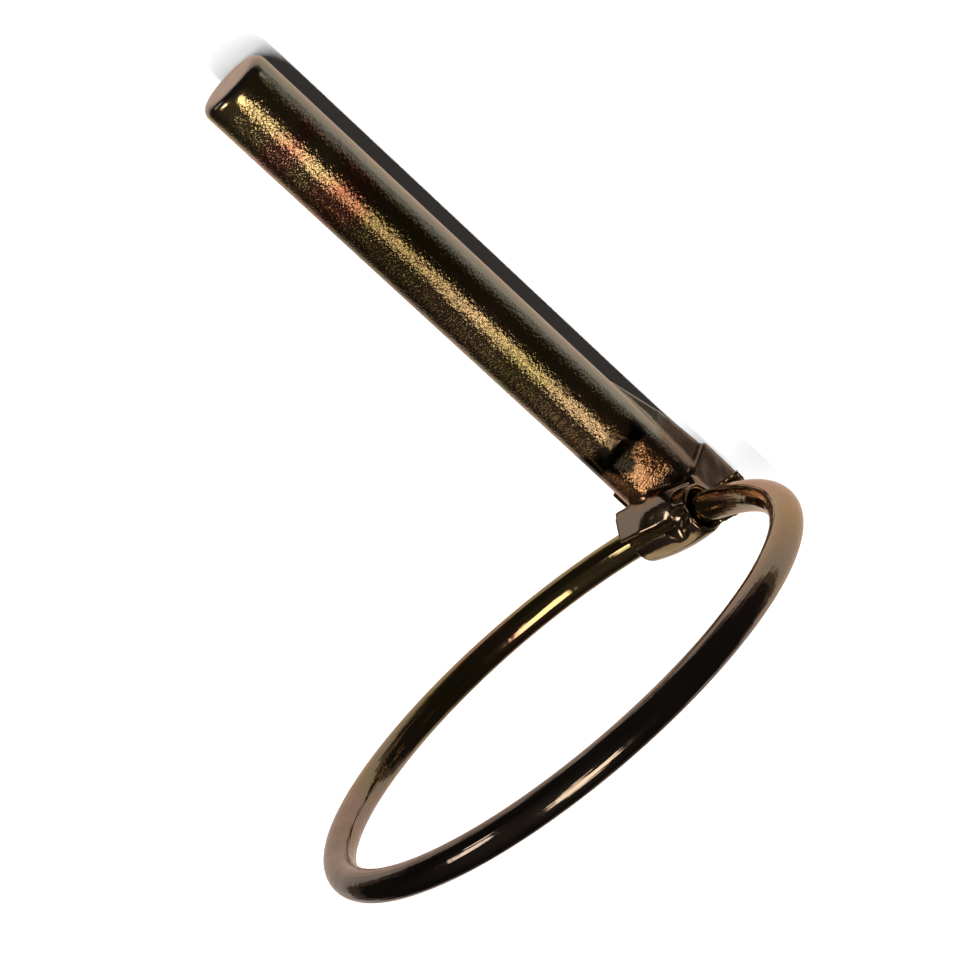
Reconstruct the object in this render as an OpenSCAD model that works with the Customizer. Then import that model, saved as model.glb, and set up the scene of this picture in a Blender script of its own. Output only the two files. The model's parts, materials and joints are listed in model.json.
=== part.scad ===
// Lynch pin: a forged pin with a flat-footed head, and a wire ring that swings in the eye of that head.
// It lies along X, with the tip at +X and the ring standing up from the head.
// The origin is on the shank's axis, where the round shank meets the head.

/* [Shank] */
// Diameter of the round shank
shank_d = 6; // [5.4:0.1:7]
// Length of the round shank, from the head to the end of the tip
shank_length = 37.6; // [32:0.2:60]
// Radius of the rounded edge of the tip
tip_round = 0.8; // [0.3:0.1:1.4]

/* [Head] */
// Distance from the round shank back to the ring's axis
head_length = 10; // [9:0.2:13]
// Height of the ring's axis above the shank's axis
pivot_rise = 3.5; // [3.3:0.1:4.4]
// Width of the foot across its flat sides
foot_w = 6.7; // [6.2:0.1:7.2]
// How far the foot stands below the shank
foot_drop = 0.1; // [0.08:0.02:0.3]
// How far the heel of the foot reaches behind the ring's axis
heel_reach = 3.1; // [2.6:0.1:4]
// Depth of the flat pressed into the shank in front of the eye
press_depth = 0.5; // [0.2:0.05:0.6]
// Turn of that flat about the shank, from the top towards -Y
press_turn = 40; // [20:1:50]
// Length of the eye along the ring's axis
eye_length = 7.4; // [7:0.1:8.4]
// How far the middle of the eye lies to the -Y side of the shank's axis
eye_offset = 0.5; // [0:0.1:0.8]
// Length of the straight bore in the middle of the eye, between its flared mouths
bore_length = 5.4; // [4.6:0.1:6]
// Wall of the eye round the bore
eye_wall = 0.7; // [0.6:0.05:0.9]
// Width of the slit between the two lips of the eye, at its open end
slit_w = 0.9; // [0.5:0.05:1.1]
// Length of the slit, from the open end of the eye
slit_length = 5.2; // [3:0.1:5.6]
// Reach of the rear lip past one end of the eye
rear_lip_reach = 2.8; // [1:0.1:3.2]
// How far the rear lip bulges past the wall of the eye
lip_bulge = 0.35; // [0.2:0.05:0.5]
// Depth of the saddle pressed into the eye between the slit and its end
saddle_depth = 0.35; // [0.1:0.05:0.4]

/* [Ring] */
// Diameter of the ring, at the middle of its wire
ring_d = 41; // [36:0.5:50]
// Diameter of the wire
wire_d = 2.4; // [2.2:0.1:2.6]
// Radius of the bend at each end of the straight stretch in the eye
bend_r = 3; // [2:0.1:6]
// Angle between the ring and the shank
ring_lean = 79; // [40:1:120]
// Gap between the two ends of the wire, inside the eye
wire_gap = 0.4; // [0.2:0.1:1]
// How far that gap lies to the -Y side of the middle of the straight stretch
gap_offset = 2; // [0:0.1:2]
// Running clearance between the wire and the eye, on the radius
eye_play = 0.05; // [0.02:0.01:0.09]

/* [Hidden] */
$fn = 96;
// Cuts run past the faces that they open by this much
overrun = 0.5;

// The eye and its place
shank_r = shank_d / 2;
wire_r = wire_d / 2;
bore_r = wire_r + eye_play;
eye_r = bore_r + eye_wall;
pivot = [-head_length, pivot_rise];
foot_half = foot_w / 2;
foot_z = -shank_r - foot_drop;
// Ends of the eye at +Y and at -Y
far_end = eye_length / 2 - eye_offset;
near_end = eye_length / 2 + eye_offset;

// The root of the shank on the head: a little fatter than the shank, and pressed flat on one side
root_swell = 0.06;
root_r = shank_r + root_swell;
root_share = 0.9;
press_z = shank_r - press_depth;
press_share = 0.37;
ramp_share = 0.22;

// The flange of the foot seen from above: shares of the head's length, and of the foot's half width
nose_share = 0.42;
flank_shares = [0.45, 0.77];
waist_shares = [0.9, 0.88];

// The block behind the flange: its front face on either side, and the height of its front
block_share = 0.87;
far_block_share = 0.655;
block_top_share = 0.46;
block_x = -head_length * block_share;
block_top = shank_r * block_top_share;
heel = [pivot[0] - heel_reach, foot_z];
facet_shares = [0.715, 0.98];
facet_foot = [-head_length * facet_shares[0], shank_r * facet_shares[1]];
facet_end_share = 0.55;

// The block seen from the front, up its two sides: heights where each side turns, and the far side's waist
near_shares = [0.25, 0.65];
far_share = 0.7;
waist_share = 0.8;

// The mouths and lips of the eye
mouth_flare = 0.25;
lip_wall = 0.3;
lip_drop_share = 0.27;
slit_tilt = 29;
slit_end_share = 0.8;
rear_end_share = 0.7;
rear_end = far_end * rear_end_share;
crown_swell = 0.06;
notch_drop = 0.4;

// The saddle beside the slit: the radius of its hollow, and how far its middle lies past the slit
saddle_r = 0.9;
saddle_past = 0.45;

// The ring's outline in its own plane
ring_r = ring_d / 2;
straight_half = bore_length / 2 + eye_play;
ring_reach = bend_r + sqrt(pow(ring_r - bend_r, 2) - pow(straight_half, 2));
bend_angle = asin(straight_half / (ring_r - bend_r));
// The wire is a hair fatter in its bends, and the straight and round stretches run on into them by a lap
bend_swell = 0.01;
bend_lap = 0.1;
arc_start = bend_angle - bend_lap / ring_r * 180 / PI;

steel = "#8d7540";
wire_steel = "#a08a5c";

// Point where a line from p touches the circle of radius r about c, on the side that turn gives
function touch(p, c, r, turn) =
    let (
        d = p - c,
        a = atan2(d[1], d[0]) + turn * acos(r / norm(d))
    )
    c + r * [cos(a), sin(a)];

// Carries a flat outline drawn in X and Z across the pin
module across(width) {
    rotate([90, 0, 0])
        linear_extrude(width, center = true)
            children();
}

// Carries a flat outline drawn in Y and Z along the pin, from x to x + length
module along(x, length) {
    translate([x, 0, 0])
        rotate([90, 0, 90])
            linear_extrude(length)
                children();
}

// Sets things that are drawn about the Z axis on the ring's axis, with their Z towards -Y
module on_pivot() {
    translate([pivot[0], 0, pivot[1]])
        rotate([90, 0, 0])
            children();
}

// Half of the shank's outline, from its axis outwards: the plain part, and the rounded tip past it
module shank_outline() {
    plain = shank_length - tip_round;
    flat_r = shank_r - tip_round;
    square([shank_r, plain]);
    translate([0, plain]) square([flat_r, tip_round]);
    translate([flat_r, plain])
        intersection() {
            circle(r = tip_round);
            square(tip_round);
        }
}

// The round shank, and its root on the head with the flat pressed into it
module round_shank() {
    ramp_run = head_length * (press_share - ramp_share);
    ramp_rise = root_r - press_z;
    press_x = -head_length * press_share;
    rotate([0, 90, 0])
        rotate_extrude() shank_outline();
    difference() {
        translate([-head_length * root_share, 0, 0])
            rotate([0, 90, 0])
                cylinder(h = head_length * root_share, r1 = root_r, r2 = shank_r);
        rotate([press_turn, 0, 0])
            across(foot_w + overrun)
                polygon([
                    [-head_length, press_z],
                    [press_x, press_z],
                    [press_x + ramp_run * (1 + overrun / ramp_rise), root_r + overrun],
                    [-head_length, root_r + overrun]
                ]);
    }
}

// The flange of the foot under the shank, tapering towards the tip
module flange() {
    side = [
        [0, foot_half * nose_share],
        [-head_length * flank_shares[0], foot_half * flank_shares[1]],
        [-head_length * waist_shares[0], foot_half * waist_shares[1]]
    ];
    other = [for (i = [len(side) - 1 : -1 : 0]) [side[i][0], -side[i][1]]];
    translate([0, 0, foot_z])
        linear_extrude(-foot_z)
            polygon(concat(side, other));
}

// Side view of the block: the foot, the facet up to the eye and the leaning back
module block_side() {
    polygon([
        heel,
        [block_x, foot_z],
        [block_x, block_top],
        facet_foot,
        touch(facet_foot, pivot, eye_r, 1),
        touch(heel, pivot, eye_r, -1)
    ]);
}

// Front view of the block: flat sides on the foot that turn out to the ends of the eye
module block_front() {
    top = pivot_rise + eye_r;
    polygon([
        [-foot_half, foot_z],
        [foot_half, foot_z],
        [foot_half, block_top],
        [foot_half * waist_share, shank_r * far_share],
        [far_end, pivot_rise],
        [far_end, top],
        [-near_end, top],
        [-near_end, shank_r * near_shares[1]],
        [-foot_half, shank_r * near_shares[0]]
    ]);
}

// Top view of the block: the corner of its facet on the -Y side is cut away
module block_plan() {
    polygon([
        [heel[0], foot_half],
        [facet_foot[0], foot_half],
        [facet_foot[0], -foot_half * facet_end_share],
        [block_x, -foot_half],
        [block_x, -near_end],
        [heel[0], -near_end]
    ]);
}

// The forged block of the head, which stands further forward on its +Y side
module block() {
    intersection() {
        across(2 * near_end) block_side();
        along(heel[0], -heel[0]) block_front();
        translate([0, 0, foot_z])
            linear_extrude(pivot_rise + eye_r - foot_z)
                block_plan();
    }
    translate([block_x - overrun, 0, foot_z])
        cube([head_length * (block_share - far_block_share) + overrun, foot_half, block_top - foot_z]);
}

// The rear lip along the eye, crowned in its middle
module rear_wall() {
    half = (near_end + rear_end) / 2;
    middle = (near_end - rear_end) / 2;
    crown_top = eye_r + lip_bulge;
    rise = lip_bulge - crown_swell;
    crown_r = (half * half + rise * rise) / (2 * rise);
    on_pivot()
        rotate_extrude(angle = 180, start = 90 - slit_tilt)
            intersection() {
                translate([crown_top - crown_r, middle]) circle(r = crown_r);
                translate([bore_r / 2, -rear_end - overrun]) square([crown_top, 2 * half + overrun]);
            }
}

// The open corner of the eye behind the slit, past the end of the rear lip at +Y
module rear_notch() {
    run = 2 * eye_r;
    width = far_end - rear_end + overrun;
    translate([0, rear_end + width / 2, 0])
        across(width)
            polygon([
                pivot,
                pivot + run * [sin(slit_tilt), cos(slit_tilt)],
                pivot + run * [-1, 1],
                pivot - [run, notch_drop]
            ]);
}

// Radius of a mouth of the eye at a distance past the straight bore
function mouth_r(past) = bore_r + mouth_flare * past;

// The flared rear lip past the end of the eye at -Y, kept behind the ring's axis and below it
module rear_lip() {
    lip_end = near_end + rear_lip_reach;
    end_r = mouth_r(lip_end - bore_length / 2) + lip_wall;
    intersection() {
        on_pivot()
            translate([0, 0, near_end - overrun])
                cylinder(h = rear_lip_reach + overrun, r1 = eye_r, r2 = end_r);
        along(pivot[0] - end_r, end_r)
            polygon([
                [-near_end + overrun, pivot_rise],
                [-near_end, pivot_rise],
                [-lip_end, pivot_rise - rear_lip_reach * lip_drop_share],
                [-lip_end, pivot_rise - end_r],
                [-near_end + overrun, pivot_rise - end_r]
            ]);
    }
}

// The flared mouth at the -Y end of the bore, clear of the wire as it curves away
module mouth_cut(length) {
    on_pivot()
        translate([0, 0, bore_length / 2])
            cylinder(h = length, r1 = bore_r, r2 = mouth_r(length));
}

// The slit between the two lips of the eye, narrowing from its open end at +Y
module slit_cut() {
    open = slit_w / 2;
    shut = open * slit_end_share;
    translate([pivot[0], far_end, pivot[1]])
        rotate([0, slit_tilt, 0])
            linear_extrude(eye_r + overrun)
                polygon([
                    [-open, overrun],
                    [-open, 0],
                    [-shut, -slit_length],
                    [shut, -slit_length],
                    [open, 0],
                    [open, overrun]
                ]);
}

// The saddle pressed across the eye between the slit and its end at -Y
module saddle_cut() {
    middle = slit_length - far_end + saddle_past;
    translate([pivot[0], -middle, pivot[1]])
        rotate([0, slit_tilt, 0])
            translate([0, 0, eye_r + saddle_r - saddle_depth])
                rotate([0, 90, 0])
                    cylinder(h = 2 * eye_r, r = saddle_r, center = true);
}

// The forged pin
module pin() {
    color(steel)
    difference() {
        union() {
            round_shank();
            flange();
            block();
            on_pivot()
                translate([0, 0, -far_end])
                    cylinder(h = eye_length, r = eye_r);
            rear_wall();
            rear_lip();
        }
        on_pivot() cylinder(h = bore_length + overrun, r = bore_r, center = true);
        mouth_cut(near_end + rear_lip_reach + overrun - bore_length / 2);
        mirror([0, 1, 0]) mouth_cut(far_end + overrun - bore_length / 2);
        slit_cut();
        saddle_cut();
        rear_notch();
    }
}

// One end of the wire: its straight stretch from start outwards and its bend, in the ring's own plane
module ring_end(start) {
    translate([0, start, 0])
        rotate([-90, 0, 0])
            cylinder(h = straight_half - start + bend_lap, r = wire_r);
    translate([bend_r, straight_half, 0])
        rotate_extrude(angle = bend_angle, start = 180 - bend_angle)
            translate([bend_r, 0])
                circle(r = wire_r + bend_swell);
}

// The wire ring
module ring() {
    color(wire_steel)
    translate([pivot[0], 0, pivot[1]])
        rotate([0, -ring_lean, 0]) {
            ring_end(wire_gap / 2 - gap_offset);
            mirror([0, 1, 0]) ring_end(wire_gap / 2 + gap_offset);
            translate([ring_reach, 0, 0])
                rotate_extrude(angle = 360 - 2 * arc_start, start = arc_start - 180)
                    translate([ring_r, 0])
                        circle(r = wire_r);
        }
}

pin();
ring();
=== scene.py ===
# %% [markdown]
# Lynch pin: how its looks are built round the imported model
#
# A lynch pin is a short forged pin with a wire ring through the eye of its head. The imported model
# already has both pieces at their true size, so this script only gives them what a solid model lacks:
# the soft edges of a forging, a wire that is smooth all round, and the yellow plating with its dark,
# rainbow-tinted gloss. The imported model is loaded first.

# %% Load the imported model
import json
from math import asin, cos, degrees, pi, radians, sin, sqrt

import bpy
from mathutils import Matrix, Vector


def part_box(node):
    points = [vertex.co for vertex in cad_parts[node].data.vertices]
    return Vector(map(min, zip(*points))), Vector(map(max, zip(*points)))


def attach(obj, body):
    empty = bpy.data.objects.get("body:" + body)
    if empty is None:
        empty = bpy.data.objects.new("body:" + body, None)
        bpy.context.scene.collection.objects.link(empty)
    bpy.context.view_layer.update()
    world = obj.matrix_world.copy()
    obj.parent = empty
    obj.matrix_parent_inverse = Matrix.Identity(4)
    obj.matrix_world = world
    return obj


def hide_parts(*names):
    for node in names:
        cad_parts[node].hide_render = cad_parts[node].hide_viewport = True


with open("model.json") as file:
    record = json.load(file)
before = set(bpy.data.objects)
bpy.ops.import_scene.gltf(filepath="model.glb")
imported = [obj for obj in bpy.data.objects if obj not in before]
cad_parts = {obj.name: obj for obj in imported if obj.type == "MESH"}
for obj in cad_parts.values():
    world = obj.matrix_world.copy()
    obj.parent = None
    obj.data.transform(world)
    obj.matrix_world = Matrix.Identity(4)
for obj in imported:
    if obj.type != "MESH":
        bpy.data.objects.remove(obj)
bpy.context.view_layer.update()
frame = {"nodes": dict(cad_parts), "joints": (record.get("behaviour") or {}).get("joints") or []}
MM = 0.001

# %% [markdown]
# The camera
#
# The photograph was taken from above with a long lens, and it hangs upside down: the shank comes down
# from the upper left, and the ring hangs below it. A camera can be turned by three angles, but for such
# a picture those are hard to read. Here the camera's place and the picture's own right and up are
# given, and the third axis follows from them.

# %% Place the camera
CAMERA_PLACE = Vector((79.3, -144.15, 159.97)) * MM
PICTURE_RIGHT = Vector((-0.70059, -0.65152, -0.29102))
PICTURE_UP = Vector((0.63014, -0.37352, -0.68074))
LENS = 112.5
SENSOR = 36.0

camera = bpy.data.objects.new("camera", bpy.data.cameras.new("camera"))
bpy.context.scene.collection.objects.link(camera)
camera.data.lens = LENS
camera.data.sensor_width = SENSOR
back = PICTURE_RIGHT.cross(PICTURE_UP)
turn = Matrix((PICTURE_RIGHT, PICTURE_UP, back)).transposed().to_4x4()
camera.matrix_world = Matrix.Translation(CAMERA_PLACE) @ turn
bpy.context.scene.camera = camera
print("camera looks along", [round(-x, 3) for x in back])

# %% [markdown]
# The ring's line
#
# The ring is one length of round spring wire. Its two ends meet inside the eye, on a straight stretch,
# and a slight bend at either end of that stretch leads into the round. It could be a torus, but then
# the straight stretch would be missing. So the wire's own line is worked out first: its radius and its
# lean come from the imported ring's box, and its centre from the eye that it turns in.

# %% Work out the wire's line
WIRE_D = 2.4 * MM
BEND_R = 3.0 * MM
STRAIGHT_HALF = 2.75 * MM
WIRE_GAP = 0.4 * MM
GAP_OFFSET = 2.0 * MM

pivot = Vector(frame["joints"][0]["pos_m"])
wire_r = WIRE_D / 2
ring_low, ring_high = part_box("ring")
ring_r = (ring_high.y - ring_low.y - WIRE_D) / 2
ring_reach = BEND_R + sqrt((ring_r - BEND_R) ** 2 - STRAIGHT_HALF ** 2)
lean = asin((ring_high.z - wire_r - pivot.z) / (ring_reach + ring_r))
bend = asin(STRAIGHT_HALF / (ring_r - BEND_R))
outward = Vector((cos(lean), 0, sin(lean)))
sideways = Vector((0, 1, 0))
ring_axis = sideways.cross(outward)
ring_centre = pivot + ring_reach * outward
print("ring radius", round(ring_r / MM, 2), "mm, lean", round(degrees(lean), 2), "degrees")

# %% [markdown]
# The ring's wire
#
# Drawn wire has the same round section all along. It could be a curve with a round bevel, but a curve
# only comes near to true arcs. Here one circle is swept stretch by stretch, as wire is bent over a
# former: extruded where the wire is straight and spun where it bends. Doubles are merged where the
# stretches meet, and the two open ends get their faces last.

# %% Sweep the section along the line
SIDES = 64
BEND_STEPS = 8
ROUND_STEPS = 240
WELD = 0.001 * MM
SHARP_ANGLE = radians(40)


def count(piece):
    """Triangles of a piece."""
    return sum(len(face.vertices) - 2 for face in piece.data.polygons)


first_end = pivot + (WIRE_GAP / 2 - GAP_OFFSET) * sideways
long_end = STRAIGHT_HALF + GAP_OFFSET - WIRE_GAP / 2
short_end = STRAIGHT_HALF - GAP_OFFSET - WIRE_GAP / 2
near_bend = pivot + BEND_R * outward + STRAIGHT_HALF * sideways
far_bend = pivot + BEND_R * outward - STRAIGHT_HALF * sideways

bpy.ops.object.select_all(action="DESELECT")
bpy.ops.mesh.primitive_circle_add(
    vertices=SIDES, radius=wire_r, location=first_end, rotation=(pi / 2, 0, 0)
)
wire = bpy.context.object
wire.name = "wire_ring"
bpy.ops.object.transform_apply(location=True, rotation=True, scale=True)
bpy.ops.object.mode_set(mode="EDIT")
bpy.ops.mesh.select_all(action="SELECT")
bpy.ops.mesh.extrude_region_move(TRANSFORM_OT_translate={"value": long_end * sideways})
bpy.ops.mesh.spin(steps=BEND_STEPS, angle=-bend, center=near_bend, axis=ring_axis)
bpy.ops.mesh.spin(steps=ROUND_STEPS, angle=2 * bend - 2 * pi, center=ring_centre, axis=ring_axis)
bpy.ops.mesh.spin(steps=BEND_STEPS, angle=-bend, center=far_bend, axis=ring_axis)
bpy.ops.mesh.extrude_region_move(TRANSFORM_OT_translate={"value": short_end * sideways})
bpy.ops.mesh.select_all(action="SELECT")
bpy.ops.mesh.remove_doubles(threshold=WELD)
bpy.ops.mesh.select_all(action="DESELECT")
bpy.ops.mesh.select_non_manifold()
bpy.ops.mesh.edge_face_add()
bpy.ops.mesh.select_all(action="SELECT")
bpy.ops.mesh.normals_make_consistent(inside=False)
bpy.ops.object.mode_set(mode="OBJECT")
bpy.ops.object.shade_smooth_by_angle(angle=SHARP_ANGLE)
print("wire:", count(wire), "triangles")

# %% The wire takes the place of the solid ring
# Light that bounces off the wire is kept from the table, which stays an even white.
wire.visible_diffuse = False
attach(wire, "ring")
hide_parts("ring")
for extreme, corner in ((min, ring_low), (max, ring_high)):
    reached = Vector([extreme(vertex.co[i] for vertex in wire.data.vertices) for i in range(3)])
    print("wire's box is off the solid's by", round((reached - corner).length / MM, 3), "mm")

# %% [markdown]
# The pin
#
# The pin is one forging: a bar with a round shank, and a head that was struck flat underneath and
# closed round the ring in a press. Such a piece has no sharp edge anywhere. A bevel can't follow the
# head's many crossing faces, so a copy of the solid is turned into an even skin of small squares, and
# the skin is smoothed until the edges are as soft as the photograph shows.

# %% A soft-edged skin on the pin
SKIN_STEP = 0.125 * MM
SKIN_PASSES = 5
SMOOTH_FACTOR = 0.5


def select_only(piece):
    """Leaves one object selected and active, so that the next operator acts on it alone."""
    bpy.ops.object.select_all(action="DESELECT")
    piece.select_set(True)
    bpy.context.view_layer.objects.active = piece


def add_modifier(piece, name, kind, **settings):
    """Adds a modifier with its settings and applies it at once."""
    select_only(piece)
    modifier = piece.modifiers.new(name, kind)
    for setting, value in settings.items():
        setattr(modifier, setting, value)
    bpy.ops.object.modifier_apply(modifier=modifier.name)


forging = bpy.data.objects.new("forged_pin", frame["nodes"]["pin"].data.copy())
bpy.context.scene.collection.objects.link(forging)
select_only(forging)
bpy.ops.object.mode_set(mode="EDIT")
bpy.ops.mesh.select_all(action="SELECT")
bpy.ops.mesh.remove_doubles(threshold=WELD)
bpy.ops.object.mode_set(mode="OBJECT")
add_modifier(forging, "skin", "REMESH", mode="VOXEL", voxel_size=SKIN_STEP, use_smooth_shade=True)
add_modifier(forging, "soften", "SMOOTH", factor=SMOOTH_FACTOR, iterations=SKIN_PASSES)
print("forging:", count(forging), "triangles")

# %% [markdown]
# The marks of the press
#
# Closing the eye round the wire left marks: the lip in front of the wire is beaten down towards the
# slit's end, there is a dent where the slit ends, and the flat behind the shank rises a little at its
# end. They could be sculpted with a brush, but a brush needs a hand. Here one point of the skin is
# moved and its neighbours follow softly, which is proportional editing, and a few smoothing passes
# blend the mark into the metal round it.


# %% Two ways to shape the skin
def press(piece, point, push, reach):
    """Pushes the skin round a point, with the neighbours in reach following softly, all in millimetres."""
    target = Vector(point) * MM
    nearest = min(piece.data.vertices, key=lambda vertex: (vertex.co - target).length_squared)
    select_only(piece)
    for kind in ("vertices", "edges", "polygons"):
        elements = getattr(piece.data, kind)
        elements.foreach_set("select", [False] * len(elements))
    nearest.select = True
    bpy.ops.object.mode_set(mode="EDIT")
    bpy.ops.mesh.select_mode(type="VERT")
    bpy.ops.transform.translate(
        value=Vector(push) * MM, use_proportional_edit=True, use_proportional_connected=True,
        proportional_edit_falloff="SMOOTH", proportional_size=reach * MM,
    )
    bpy.ops.object.mode_set(mode="OBJECT")


def smooth_round(piece, point, reach, passes):
    """Smooths the skin within a reach of a point, in millimetres: fully in the inner half, then fading."""
    target = Vector(point) * MM
    group = piece.vertex_groups.new(name="smoothed")
    for vertex in piece.data.vertices:
        weight = 2 - 2 * (vertex.co - target).length / (reach * MM)
        if weight > 0:
            group.add([vertex.index], min(weight, 1), "REPLACE")
    add_modifier(
        piece, "smooth_round", "SMOOTH", factor=SMOOTH_FACTOR, iterations=passes, vertex_group=group.name
    )
    piece.vertex_groups.clear()


# %% The lip beaten down, and the dent at the slit's end
LIP_X, LIP_Z = -8.7, 4.95
LIP_STEPS = (-0.4, -1.4, -2.4)
LIP_PUSH = (-0.13, 0, -0.13)
LIP_REACH = 1.6
LIP_BLEND = (-9.0, -2.6, 5.0)
LIP_BLEND_REACH = 2.2
LIP_BLEND_PASSES = 25
SLIT_END = (-9.05, -3.3, 5.1)
SLIT_PUSH = (-0.22, 0, -0.4)
SLIT_REACH = 1.15

for lip_y in LIP_STEPS:
    press(forging, (LIP_X, lip_y, LIP_Z), LIP_PUSH, LIP_REACH)
smooth_round(forging, LIP_BLEND, LIP_BLEND_REACH, LIP_BLEND_PASSES)
press(forging, SLIT_END, SLIT_PUSH, SLIT_REACH)
print("lip beaten down in", len(LIP_STEPS), "places")
print("slit's end dented by", round(Vector(SLIT_PUSH).length, 2), "mm")

# %% The end of the press mark, and the forging takes the place of the solid pin
MARK_END = (-5.3, -1.6, 1.9)
MARK_PUSH = (0, -0.16, 0.19)
MARK_REACH = 2.0
MARK_BLEND = (-5.2, -1.6, 1.9)
MARK_BLEND_REACH = 3.4
MARK_BLEND_PASSES = 90

press(forging, MARK_END, MARK_PUSH, MARK_REACH)
smooth_round(forging, MARK_BLEND, MARK_BLEND_REACH, MARK_BLEND_PASSES)
forging.visible_diffuse = False
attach(forging, "pin")
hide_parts("pin")
print("press mark raised by", round(Vector(MARK_PUSH).length, 2), "mm at its end")


# %% [markdown]
# The finishes
#
# Both pieces are zinc plated and dipped in yellow chromate. The film is so thin that it shows colours
# as oil on water does: gold first, then rose, green and bronze where it is thicker. Under it the metal
# is dark and mirror-like, so most of what it shows is the room round it. A picture could be laid on the
# metal, but it would hold that room for good. Here the colours and marks are worked out from the place
# on the piece, and the room is built apart. Four small helpers serve all the materials.

# %% Colours and nodes
def colour(code):
    """A colour from its sRGB hex code, as the linear values that a shader takes."""
    parts = [int(code[i:i + 2], 16) / 255 for i in (1, 3, 5)]
    return [p / 12.92 if p <= 0.04045 else ((p + 0.055) / 1.055) ** 2.4 for p in parts] + [1]


def add_node(tree, kind, settings=(), inputs=(), stops=()):
    """Adds one node: its settings, what its inputs hold or are fed by, and a colour ramp's stops."""
    made = tree.nodes.new(kind)
    for name, value in dict(settings).items():
        setattr(made, name, value)
    for name, value in dict(inputs).items():
        if isinstance(value, bpy.types.NodeSocket):
            tree.links.new(value, made.inputs[name])
        else:
            made.inputs[name].default_value = value
    for i, (place, code) in enumerate(stops):
        ramp = made.color_ramp.elements
        stop = ramp[i] if i < 2 else ramp.new(place)
        stop.position = place
        stop.color = colour(code)
    return made


def new_material(name):
    """A material with an empty node tree, and its output node."""
    material = bpy.data.materials.new(name)
    material.use_nodes = True
    material.node_tree.nodes.clear()
    return material, material.node_tree, material.node_tree.nodes.new("ShaderNodeOutputMaterial")


def per_mm(size):
    """The scale of a pattern whose marks are this many millimetres across."""
    return 1 / (size * MM)


# %% [markdown]
# The film on the forging
#
# The film's colour wanders along the shank: pale gold at the tip, then rose and gold by turns, olive
# towards the head and orange on the pressed flat. On the slope from the pressed flat up to the round shank
# the ramp paints the metal nearly black: that is painted shade, for the dark room that the slope mirrors.
# It could be painted by hand on the mesh, but a ramp along the shank is easier to change. A noise shifts
# each spot a little along that ramp, so that no colour ends in a straight line.

# %% Where along the pin, and how far the colours stray
PIN_START, PIN_END = -14.0, 38.0
STRAY = 5.0
STRAY_SIZE = 3.0
NOISE_DETAIL = 2.0

# Yellow zinc plate on a forged skin: a dark mirror, gold to rose, that fine strokes break into sparkle,
# with painted shade behind the pressed flat and on the foot, and a painted sheen on the lower half.
plated, tree, output = new_material("yellow_plated_forging")
place = add_node(tree, "ShaderNodeTexCoord").outputs["Object"]
axes = add_node(tree, "ShaderNodeSeparateXYZ", inputs={"Vector": place})
along, across, height = [axes.outputs[axis] for axis in "XYZ"]
stray = add_node(tree, "ShaderNodeTexNoise", inputs={
    "Vector": place, "Scale": per_mm(STRAY_SIZE), "Detail": NOISE_DETAIL,
})
strayed = add_node(tree, "ShaderNodeMath", {"operation": "MULTIPLY_ADD"}, {
    0: stray.outputs["Fac"], 1: STRAY * MM, 2: along,
})
tint_place = add_node(tree, "ShaderNodeMapRange", inputs={
    "Value": strayed.outputs["Value"],
    "From Min": (PIN_START + STRAY / 2) * MM,
    "From Max": (PIN_END + STRAY / 2) * MM,
})
print("film runs from", PIN_START, "to", PIN_END, "mm and strays by", STRAY, "mm")

# %% The film's tints along the pin
PALE_GOLD, ROSE, RUST, OLIVE = "#c8b482", "#cc8c78", "#b87860", "#a69a64"
TAN, ORANGE, BRONZE, STEEL = "#b9a17c", "#c29670", "#9c8862", "#a8927e"
# The near black from -4.1 to -2.4 mm is painted shade on the slope behind the pressed flat.
BROWN, PAINTED_SHADE_DARK, LIP_GOLD = "#96845a", "#332e27", "#b8a888"
TINTS = [
    (-11.0, LIP_GOLD), (-10.0, STEEL), (-7.4, STEEL),
    (-6.8, ORANGE), (-4.6, ORANGE), (-4.1, PAINTED_SHADE_DARK), (-2.4, PAINTED_SHADE_DARK),
    (-1.6, TAN), (3.5, TAN), (7.3, OLIVE), (12.0, TAN),
    (16.5, BRONZE), (20.5, BROWN), (24.0, BROWN), (26.6, RUST),
    (29.0, PALE_GOLD), (31.8, ROSE), (33.6, PALE_GOLD), (38.0, PALE_GOLD),
]


def along_pin(marks):
    """Marks given by their millimetres along the pin, as the stops of a colour ramp."""
    return [((x - PIN_START) / (PIN_END - PIN_START), code) for x, code in marks]


film = add_node(
    tree, "ShaderNodeValToRGB",
    inputs={"Fac": tint_place.outputs["Result"]}, stops=along_pin(TINTS),
)
print("film:", len(TINTS), "tints")

# %% [markdown]
# Painted sheen and shade low down, and the tip's end
#
# The lower half of the shank is painted a pale zinc grey. That is painted sheen: it stands for the grey
# that the metal shows where it mirrors the table at a grazing angle. The foot low down is painted a darker
# brown grey, which is painted shade for the shadowed table that its walls mirror. The tip's end is a
# pinkish grey. A second ramp could say so, but three masks by place are plainer: one by height, one that
# tells the foot from the shank, and one for the end face.

# %% Mix the painted sheen, the painted shade and the tip's end into the film
# The zinc grey is a painted sheen: the pale grey of the table mirrored at a grazing angle, painted low
# down.
PAINTED_SHEEN_GREY, FOOT_PAINTED_SHADE, END_GREY = "#a6a698", "#8c7b6c", "#ada096"
LOWER_PAINT_STARTS, LOWER_PAINT_FULL = 0.7 * MM, 0.2 * MM
FOOT_ENDS, SHANK_STARTS = -5.4 * MM, -4.4 * MM
EDGE_ENDS, END_STARTS = 37.0 * MM, 37.4 * MM

painted_lower_half = add_node(tree, "ShaderNodeMapRange", inputs={
    "Value": height, "From Min": LOWER_PAINT_STARTS, "From Max": LOWER_PAINT_FULL,
})
on_shank = add_node(tree, "ShaderNodeMapRange", inputs={
    "Value": along, "From Min": FOOT_ENDS, "From Max": SHANK_STARTS,
})
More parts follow.
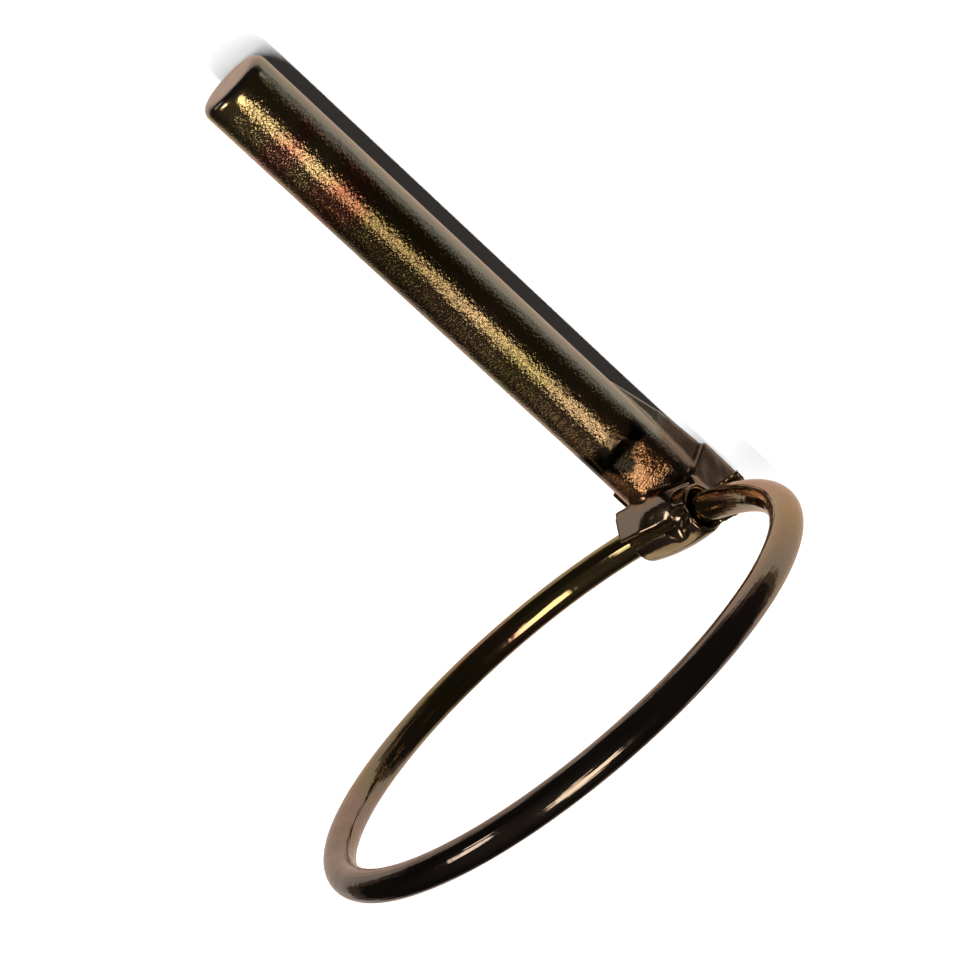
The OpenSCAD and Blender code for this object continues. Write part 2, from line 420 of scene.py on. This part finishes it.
# The foot's brown grey is painted shade: it darkens the foot's low walls, which mirror the shadowed table.
sheen_or_shade = add_node(tree, "ShaderNodeMixRGB", inputs={
    "Fac": on_shank.outputs["Result"], "Color1": colour(FOOT_PAINTED_SHADE), "Color2": colour(PAINTED_SHEEN_GREY),
})
film_with_painted_light = add_node(tree, "ShaderNodeMixRGB", inputs={
    "Fac": painted_lower_half.outputs["Result"], "Color1": film.outputs["Color"], "Color2": sheen_or_shade.outputs["Color"],
})
end_face = add_node(tree, "ShaderNodeMapRange", inputs={
    "Value": along, "From Min": EDGE_ENDS, "From Max": END_STARTS,
})
tint = add_node(tree, "ShaderNodeMixRGB", inputs={
    "Fac": end_face.outputs["Result"], "Color1": film_with_painted_light.outputs["Color"], "Color2": colour(END_GREY),
})
# Below this height the shank takes the painted sheen and the foot the painted shade.
print("film thins below", LOWER_PAINT_STARTS / MM, "mm and past", EDGE_ENDS / MM, "mm")

# %% [markdown]
# The skin of the forging
#
# The bar's skin is covered with fine strokes that run round it. The head, struck in a die, is smoother,
# and so are the end of the tip, the underside and the far flank. Such strokes are far too fine for the
# mesh, so they are bump: one noise for the slow waves of the forging, and over it a second one,
# stretched round the bar, whose strength follows three masks by place.

# %% How strong the strokes are
FAINT, STROKED = "#606060", "#ffffff"
STROKE_MARKS = [
    (-7.4, FAINT), (-6.8, STROKED), (-3.8, STROKED), (-3.3, FAINT), (-2.2, FAINT),
    (-1.5, STROKED), (35.8, STROKED), (36.8, FAINT),
]
RUB_LOW, RUB_HIGH, RUB_LEFT = -0.3 * MM, 0.9 * MM, 0.3
FLANK_NEAR, FLANK_FAR, FLANK_LEFT = 0.5 * MM, 1.6 * MM, 0.4

stroke_place = add_node(tree, "ShaderNodeMapRange", inputs={
    "Value": along, "From Min": PIN_START * MM, "From Max": PIN_END * MM,
})
strength = add_node(
    tree, "ShaderNodeValToRGB",
    inputs={"Fac": stroke_place.outputs["Result"]}, stops=along_pin(STROKE_MARKS),
)
rubbed = add_node(tree, "ShaderNodeMapRange", inputs={
    "Value": height, "From Min": RUB_LOW, "From Max": RUB_HIGH, "To Min": RUB_LEFT, "To Max": 1.0,
})
flank = add_node(tree, "ShaderNodeMapRange", inputs={
    "Value": across, "From Min": FLANK_NEAR, "From Max": FLANK_FAR, "To Min": 1.0, "To Max": FLANK_LEFT,
})
kept = add_node(tree, "ShaderNodeMath", {"operation": "MULTIPLY"}, {
    0: rubbed.outputs["Result"], 1: flank.outputs["Result"],
})
stroked = add_node(tree, "ShaderNodeMath", {"operation": "MULTIPLY"}, {
    0: strength.outputs["Color"], 1: kept.outputs["Value"],
})
print("strokes:", len(STROKE_MARKS), "marks along the pin")

# %% Waves and strokes, and the plated forging's shader
WAVE_SIZE = 1.8
WAVE_DETAIL = 1.0
WAVE_DEPTH = 0.05 * MM
STROKE_SIZE = 0.26
STROKE_SHAPE = (1.6, 0.8, 0.8)
STROKE_GRAIN = 0.55
STROKE_DEPTH = 0.085 * MM
FORGED_ROUGHNESS = 0.15

waves = add_node(tree, "ShaderNodeTexNoise", inputs={
    "Vector": place, "Scale": per_mm(WAVE_SIZE), "Detail": WAVE_DETAIL,
})
wavy = add_node(tree, "ShaderNodeBump", inputs={"Height": waves.outputs["Fac"], "Distance": WAVE_DEPTH})
round_bar = add_node(tree, "ShaderNodeMapping", inputs={"Vector": place, "Scale": STROKE_SHAPE})
strokes = add_node(tree, "ShaderNodeTexNoise", inputs={
    "Vector": round_bar.outputs["Vector"],
    "Scale": per_mm(STROKE_SIZE),
    "Detail": NOISE_DETAIL,
    "Roughness": STROKE_GRAIN,
})
skin = add_node(tree, "ShaderNodeBump", inputs={
    "Height": strokes.outputs["Fac"],
    "Strength": stroked.outputs["Value"],
    "Distance": STROKE_DEPTH,
    "Normal": wavy.outputs["Normal"],
})
shader = add_node(tree, "ShaderNodeBsdfPrincipled", inputs={
    "Base Color": tint.outputs["Color"],
    "Metallic": 1.0,
    "Roughness": FORGED_ROUGHNESS,
    "Normal": skin.outputs["Normal"],
})
tree.links.new(shader.outputs["BSDF"], output.inputs["Surface"])
forging.data.materials.clear()
forging.data.materials.append(plated)
print("skin: strokes of", STROKE_SIZE, "mm on", plated.name)

# %% [markdown]
# The film on the wire
#
# The wire was plated in the same bath. Its film is tan and olive by turns near the eye, and grows
# darker and greyer towards the far side of the ring. As on the forging, a ramp by place gives the
# colours, here by height, and a noise shifts each spot along it.

# %% The wire's tints
WIRE_TINTS = [
    (0.0, "#b89c74"), (0.12, "#aea070"), (0.22, "#ba9478"), (0.34, "#a69a70"),
    (0.6, "#a8948a"), (0.8, "#90857a"), (1.0, "#7c6e69"),
]
WIRE_START, WIRE_END = 15.0 * MM, 60.0 * MM
WIRE_STRAY = 30.0 * MM
WIRE_STRAY_SIZE = 6.0

# Yellow zinc plate on drawn wire: a clean dark mirror that shows the room in long streaks.
plated_wire, tree, output = new_material("yellow_plated_wire")
place = add_node(tree, "ShaderNodeTexCoord").outputs["Object"]
wire_height = add_node(tree, "ShaderNodeSeparateXYZ", inputs={"Vector": place}).outputs["Z"]
wire_stray = add_node(tree, "ShaderNodeTexNoise", inputs={
    "Vector": place, "Scale": per_mm(WIRE_STRAY_SIZE), "Detail": NOISE_DETAIL,
})
wire_strayed = add_node(tree, "ShaderNodeMath", {"operation": "MULTIPLY_ADD"}, {
    0: wire_stray.outputs["Fac"], 1: WIRE_STRAY, 2: wire_height,
})
wire_place = add_node(tree, "ShaderNodeMapRange", inputs={
    "Value": wire_strayed.outputs["Value"], "From Min": WIRE_START, "From Max": WIRE_END,
})
wire_film = add_node(
    tree, "ShaderNodeValToRGB",
    inputs={"Fac": wire_place.outputs["Result"]}, stops=WIRE_TINTS,
)
print("wire film:", len(WIRE_TINTS), "tints")

# %% [markdown]
# The skin of the wire
#
# The wire was drawn through a die before it was bent, so it is far smoother than the forging. Two
# things break up its streaks: slight waves from the bending, and faint lines that the die left along
# the wire. A line along a ring can't be had by stretching a noise in one direction. So the place is
# turned into the ring's own terms first: how far from its centre, how far out of its plane, and the
# angle round it.

# %% Waves from the bending
BEND_WAVE_SIZE = 1.4
BEND_WAVE_DEPTH = 0.035 * MM

bend_waves = add_node(tree, "ShaderNodeTexNoise", inputs={
    "Vector": place, "Scale": per_mm(BEND_WAVE_SIZE), "Detail": NOISE_DETAIL,
})
bent = add_node(tree, "ShaderNodeBump", inputs={
    "Height": bend_waves.outputs["Fac"], "Distance": BEND_WAVE_DEPTH,
})
print("wire: waves of", BEND_WAVE_SIZE, "mm")

# %% Lines along the wire, and the plated wire's shader
LINE_SIZE = 0.3
LINE_DEPTH = 0.05 * MM
LINE_SLANT = 0.03
RING_PLANE = (1, 1, 0)
DRAWN_ROUGHNESS = 0.10

flat = add_node(tree, "ShaderNodeMapping", {"vector_type": "TEXTURE"}, {
    "Vector": place, "Location": ring_centre, "Rotation": (0, -lean, 0),
}).outputs["Vector"]
in_ring = add_node(tree, "ShaderNodeSeparateXYZ", inputs={"Vector": flat})
in_plane = add_node(tree, "ShaderNodeVectorMath", {"operation": "MULTIPLY"}, {0: flat, 1: RING_PLANE})
from_centre = add_node(tree, "ShaderNodeVectorMath", {"operation": "LENGTH"}, {
    0: in_plane.outputs["Vector"],
})
angle = add_node(tree, "ShaderNodeMath", {"operation": "ARCTAN2"}, {
    0: in_ring.outputs["Y"], 1: in_ring.outputs["X"],
})
run = add_node(tree, "ShaderNodeMath", {"operation": "MULTIPLY"}, {
    0: angle.outputs["Value"], 1: ring_r * LINE_SLANT,
})
section = add_node(tree, "ShaderNodeCombineXYZ", inputs={
    "X": from_centre.outputs["Value"], "Y": in_ring.outputs["Z"], "Z": run.outputs["Value"],
})
lines = add_node(tree, "ShaderNodeTexNoise", inputs={
    "Vector": section.outputs["Vector"], "Scale": per_mm(LINE_SIZE), "Detail": NOISE_DETAIL,
})
lined = add_node(tree, "ShaderNodeBump", inputs={
    "Height": lines.outputs["Fac"], "Distance": LINE_DEPTH, "Normal": bent.outputs["Normal"],
})
shader = add_node(tree, "ShaderNodeBsdfPrincipled", inputs={
    "Base Color": wire_film.outputs["Color"],
    "Metallic": 1.0,
    "Roughness": DRAWN_ROUGHNESS,
    "Normal": lined.outputs["Normal"],
})
tree.links.new(shader.outputs["BSDF"], output.inputs["Surface"])
wire.data.materials.append(plated_wire)
print("wire: lines of", LINE_SIZE, "mm on", plated_wire.name)

# %% [markdown]
# The table
#
# The pin lies on a plain white table. A plane at the height of the pin's foot is enough. The metal
# doesn't mirror the plane itself, because the room below gives it a table whose edge can be set, and
# the plane lets through the one card that shines from below.

# %% White table
FLOOR_SIZE = 6.0
TABLE_WHITE = "#f8f8f8"
floor_z = min(low.z for low, high in (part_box("pin"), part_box("ring")))

bpy.ops.object.select_all(action="DESELECT")
bpy.ops.mesh.primitive_plane_add(size=FLOOR_SIZE, location=(0, 0, floor_z))
floor = bpy.context.object
floor.name = "table"
# Matt white board: an even white with no gloss at all.
white, tree, output = new_material("matt_white_board")
shader = add_node(tree, "ShaderNodeBsdfPrincipled", inputs={
    "Base Color": colour(TABLE_WHITE), "Roughness": 1.0, "Specular IOR Level": 0.0,
})
tree.links.new(shader.outputs["BSDF"], output.inputs["Surface"])
floor.data.materials.append(white)
floor.visible_glossy = False
floor.visible_shadow = False
print("table at", round(floor_z / MM, 2), "mm")


# %% [markdown]
# The lamp over the table
#
# One lamp keeps the table white and throws the shadow. A round lamp would blur it on all sides alike.
# In the photograph it is mostly a crisp dark strip along the shank, so the lamp is a long tube,
# parallel to the shank: narrow across it, which keeps the strip crisp, and long the other way, which
# blurs what the ends of the pin throw. It stands far off, so that the table is lit evenly.

# %% A long tube overhead
TUBE_DISTANCE = 20.0
TUBE_ELEVATION, TUBE_AZIMUTH = 83, -90
TUBE_LENGTH, TUBE_WIDTH = 44.0, 1.2
TUBE_POWER = 9400


def aim(lamp, elevation, azimuth, distance):
    """Sets a lamp in a direction from the pin, in degrees, and faces it to the pin."""
    bpy.context.scene.collection.objects.link(lamp)
    up, round_about = radians(elevation), radians(azimuth)
    away = Vector((cos(up) * cos(round_about), cos(up) * sin(round_about), sin(up)))
    facing = away.to_track_quat("Z", "Y").to_matrix().to_4x4()
    lamp.matrix_world = Matrix.Translation(distance * away) @ facing


overhead = bpy.data.objects.new("tube_overhead", bpy.data.lights.new("tube_overhead", "AREA"))
aim(overhead, TUBE_ELEVATION, TUBE_AZIMUTH, TUBE_DISTANCE)
overhead.data.shape = "RECTANGLE"
overhead.data.size = TUBE_LENGTH
overhead.data.size_y = TUBE_WIDTH
overhead.data.energy = TUBE_POWER
overhead.visible_glossy = False
print("tube:", TUBE_LENGTH, "by", TUBE_WIDTH, "m, at", TUBE_DISTANCE, "m")

# %% [markdown]
# The cards that the metal mirrors
#
# Small bright metal is lit with cards: whatever glows near it shows as a streak or a spot. One card
# gives the gold streak along the shank, one the streaks on the ring, one the two spots by the slit's
# end, and four dim ones lift the head. A card could be a mesh that glows, but an area lamp can be kept
# off the table, and light linking lets one piece alone show it, so each streak can be set by itself.

# %% Oval cards
CARD_DISTANCE = 0.6
# Elevation, azimuth, half width and half height in degrees, brightness, shade.
CARDS = {
    "shank_key": (60, -117, 22, 10, 3.4, "#fff2dc"),
    "wire_key": (62, -108, 18, 17, 3.4, "#fff2dc"),
    "side": (51, 36, 10, 10, 3.5, "#fff6ea"),
    "behind_head": (19, 139, 13, 23, 0.60, "#ffeacc"),
    "beside_head": (10, 40, 12, 8, 0.42, "#ffffff"),
    "table_sheen": (-35, -101, 10, 7, 0.42, "#f4f2ee"),
    "on_press_mark": (42, -143, 6.5, 6.5, 1.95, "#ffe2c8"),
}


def add_card(name, elevation, azimuth, half_width, half_height, brightness, shade):
    """A glowing oval card that only the metal shows. Its power is brightness times pi times area."""
    card = bpy.data.objects.new(name, bpy.data.lights.new(name, "AREA"))
    aim(card, elevation, azimuth, CARD_DISTANCE)
    half_w, half_h = [CARD_DISTANCE * sin(radians(half)) for half in (half_width, half_height)]
    card.data.shape = "ELLIPSE"
    card.data.size = 2 * half_w
    card.data.size_y = 2 * half_h
    card.data.energy = brightness * pi * pi * half_w * half_h
    card.data.color = colour(shade)[:3]
    card.visible_diffuse = False
    return card


cards = {name: add_card(name, *values) for name, values in CARDS.items()}
print("cards:", sorted(cards))

# %% Which piece shows which card
PIN_CARDS = ("behind_head", "beside_head", "table_sheen", "on_press_mark", "shank_key")

pin_only = bpy.data.collections.new("pin_only")
pin_only.objects.link(forging)
wire_only = bpy.data.collections.new("wire_only")
wire_only.objects.link(wire)
for name in PIN_CARDS:
    cards[name].light_linking.receiver_collection = pin_only
cards["wire_key"].light_linking.receiver_collection = wire_only
# The ring stands clear of the table and throws no shadow in the photograph.
overhead.light_linking.blocker_collection = pin_only
print("for the pin alone:", len(PIN_CARDS), "cards")

# %% [markdown]
# The dark room
#
# Besides the lamps, the plating mirrors the room: dark walls, a dim ceiling and, low down, the pale
# table with its edge. A picture of a room could be wrapped round the scene, but nothing in it would be
# seen sharply. Two ramps over the direction do as well: one from the walls down to the table, and one
# that adds the ceiling.

# %% The table's side and the ceiling
TABLE_SIDE = Vector((-0.2, 0.42, -1.0))
TABLE_EDGE, TABLE_MIDDLE = 0.37, 1.0
TABLE_SHADES = [(0.0, "#23211f"), (0.04, "#60524a"), (0.25, "#60524a"), (0.30, "#b4b0aa"), (1.0, "#d6bcaa")]
CEILING_EDGE, CEILING_MIDDLE = 0.4, 1.0
CEILING_SHADES = [(0.0, "#000000"), (1.0, "#363230")]

world = bpy.data.worlds.new("room")
bpy.context.scene.world = world
world.use_nodes = True
tree = world.node_tree
tree.nodes.clear()
direction = add_node(tree, "ShaderNodeTexCoord").outputs["Generated"]
downward = add_node(tree, "ShaderNodeVectorMath", {"operation": "DOT_PRODUCT"}, {
    0: direction, 1: TABLE_SIDE,
})
table = add_node(tree, "ShaderNodeMapRange", inputs={
    "Value": downward.outputs["Value"], "From Min": TABLE_EDGE, "From Max": TABLE_MIDDLE,
})
low = add_node(tree, "ShaderNodeValToRGB", inputs={"Fac": table.outputs["Result"]}, stops=TABLE_SHADES)
upward = add_node(tree, "ShaderNodeSeparateXYZ", inputs={"Vector": direction}).outputs["Z"]
ceiling = add_node(tree, "ShaderNodeMapRange", inputs={
    "Value": upward, "From Min": CEILING_EDGE, "From Max": CEILING_MIDDLE,
})
high = add_node(tree, "ShaderNodeValToRGB", inputs={"Fac": ceiling.outputs["Result"]}, stops=CEILING_SHADES)
room = add_node(tree, "ShaderNodeMixRGB", {"blend_type": "ADD"}, {
    "Fac": 1.0, "Color1": low.outputs["Color"], "Color2": high.outputs["Color"],
})
sky = add_node(tree, "ShaderNodeBackground", inputs={"Color": room.outputs["Color"], "Strength": 1.0})
add_node(tree, "ShaderNodeOutputWorld", inputs={"Surface": sky.outputs["Background"]})
bpy.context.scene.view_settings.view_transform = "Standard"
print("room:", len(TABLE_SHADES) + len(CEILING_SHADES), "shades")
